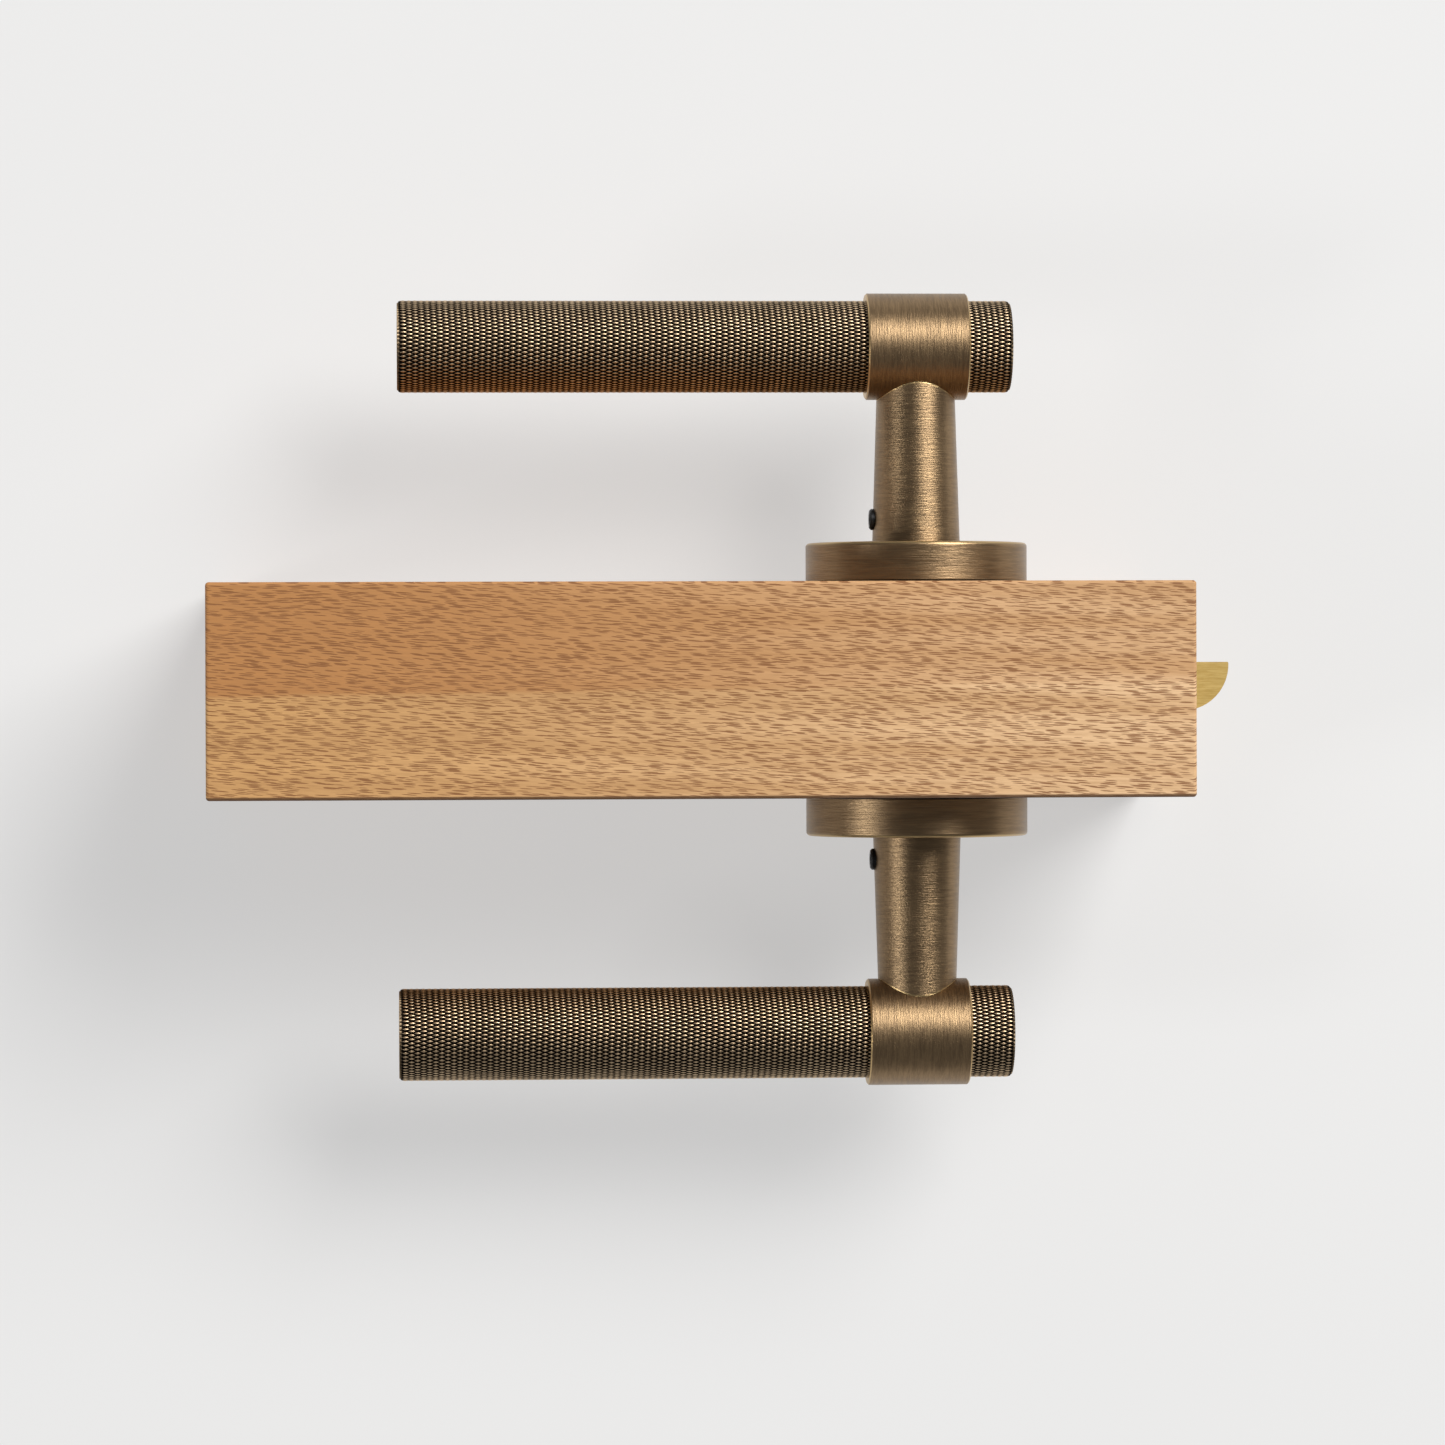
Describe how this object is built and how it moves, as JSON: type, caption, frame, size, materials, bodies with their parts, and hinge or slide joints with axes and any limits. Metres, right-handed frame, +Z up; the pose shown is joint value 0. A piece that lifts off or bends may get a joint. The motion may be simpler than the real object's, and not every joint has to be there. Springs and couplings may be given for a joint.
{
  "type": "door lever set",
  "caption": "Pair of knurled bar lever handles on round roses, back to back through a beech display block, turning a spindle that draws in a sprung tubular latch bolt",
  "frame": {"origin": "on the block's base, straight below the middle of the spindle, half way through the block's thickness", "axes": "+X out of the block's latch edge, +Y along the spindle towards the back lever, +Z up"},
  "size_m": [0.2382, 0.1862, 0.092],
  "materials": {
    "antique_brass": "burnished antique brass, dark olive brown with brushed warm highlights",
    "beech": "clear satin beech with short dark flecks",
    "satin_brass": "satin brass brushed lengthwise",
    "black_steel": "black oxide, satin",
    "dark_steel": "dark coated steel",
    "zinc_steel": "bright zinc plated",
    "spring_steel": "oiled spring steel",
    "nylon": "natural nylon"
  },
  "bodies": {
    "block": {"display_block": "beech", "through_bolts": "zinc_steel", "bolt_sleeves": "zinc_steel", "latch_faceplate": "satin_brass", "faceplate_screws": "satin_brass", "latch_case": "zinc_steel", "spring_bridge": "zinc_steel", "bolt_spring": "spring_steel", "rose_cover_back": "antique_brass", "rose_cover_front": "antique_brass", "rose_plate_back": "dark_steel", "rose_plate_front": "dark_steel", "rose_bush_back": "nylon", "rose_bush_front": "nylon", "return_spring_back": "spring_steel", "return_spring_front": "spring_steel"},
    "levers": {"spindle": "zinc_steel", "latch_follower": "zinc_steel", "stop_washer_back": "zinc_steel", "stop_washer_front": "zinc_steel", "retaining_clip_back": "spring_steel", "retaining_clip_front": "spring_steel", "lever_neck_back": "antique_brass", "lever_neck_front": "antique_brass", "lever_collar_back": "antique_brass", "lever_collar_front": "antique_brass", "grip_bar_back": "antique_brass", "grip_bar_front": "antique_brass", "bar_screw_back": "zinc_steel", "bar_screw_front": "zinc_steel", "grub_screw_back": "black_steel", "grub_screw_front": "black_steel"},
    "bolt": {"latch_bolt": "satin_brass", "latch_tail": "zinc_steel"}
  },
  "joints": [
    {"name": "lever_turn", "type": "hinge", "parent": "block", "child": "levers", "pos_m": [0, 0, 0.046], "axis": [0, -1, 0], "range_deg": [0, 60], "stiffness_Nm_per_rad": 0.8, "springref_deg": -74.48, "deforming": ["return_spring_back", "return_spring_front"]},
    {"name": "bolt_slide", "type": "slide", "parent": "block", "child": "bolt", "axis": [-1, 0, 0], "range_m": [0, 0.011], "stiffness_N_per_m": 250, "springref_m": -0.012, "deforming": ["bolt_spring"]}
  ],
  "couplings": [
    {"joint": "bolt_slide", "follows": "lever_turn", "m_per_rad": 0.0105}
  ]
}
